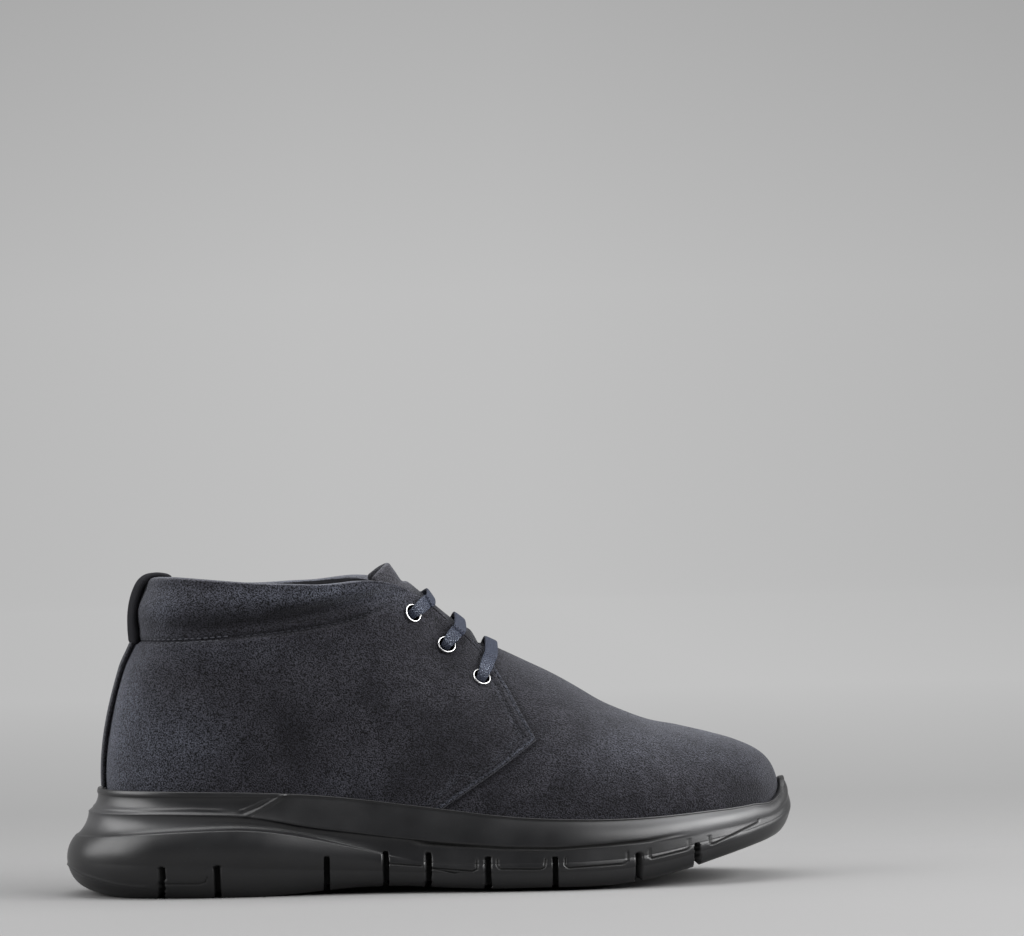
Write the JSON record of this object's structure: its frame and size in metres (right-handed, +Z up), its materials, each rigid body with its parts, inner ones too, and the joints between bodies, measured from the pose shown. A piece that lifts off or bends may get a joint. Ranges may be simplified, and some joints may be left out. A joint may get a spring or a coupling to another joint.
{
  "type": "sneaker",
  "caption": "Low chukka-height suede skate sneaker for the right foot: hollow upper with padded collar, tongue, flat laces through metal eyelets, heel pull tab and moulded rubber cup sole",
  "frame": {"origin": "on the floor, under the middle of the shoe's bounding box", "axes": "+Z up, +X from heel to toe along the longest extent, -Y the outer (lateral) side of this right shoe"},
  "size_m": [0.3041, 0.112, 0.1344],
  "materials": {
    "slate_suede": "napped, matte",
    "tongue_suede": "napped, matte",
    "black_foam_rubber": "satin",
    "insole_textile": "matte",
    "back_strip_suede": "napped, matte",
    "woven_tape": "matte weave",
    "nickel": "bright",
    "waxed_lace": "waxed, low gloss"
  },
  "bodies": {
    "root": {"upper": "slate_suede", "tongue": "tongue_suede", "sole": "black_foam_rubber", "insole": "insole_textile", "back_strip": "back_strip_suede", "pull_tab": "woven_tape", "eyelet_lateral_1": "nickel", "eyelet_lateral_2": "nickel", "eyelet_lateral_3": "nickel", "eyelet_medial_1": "nickel", "eyelet_medial_2": "nickel", "eyelet_medial_3": "nickel", "lace_bar_1": "waxed_lace", "lace_bar_2": "waxed_lace", "lace_bar_3": "waxed_lace"}
  },
  "joints": []
}
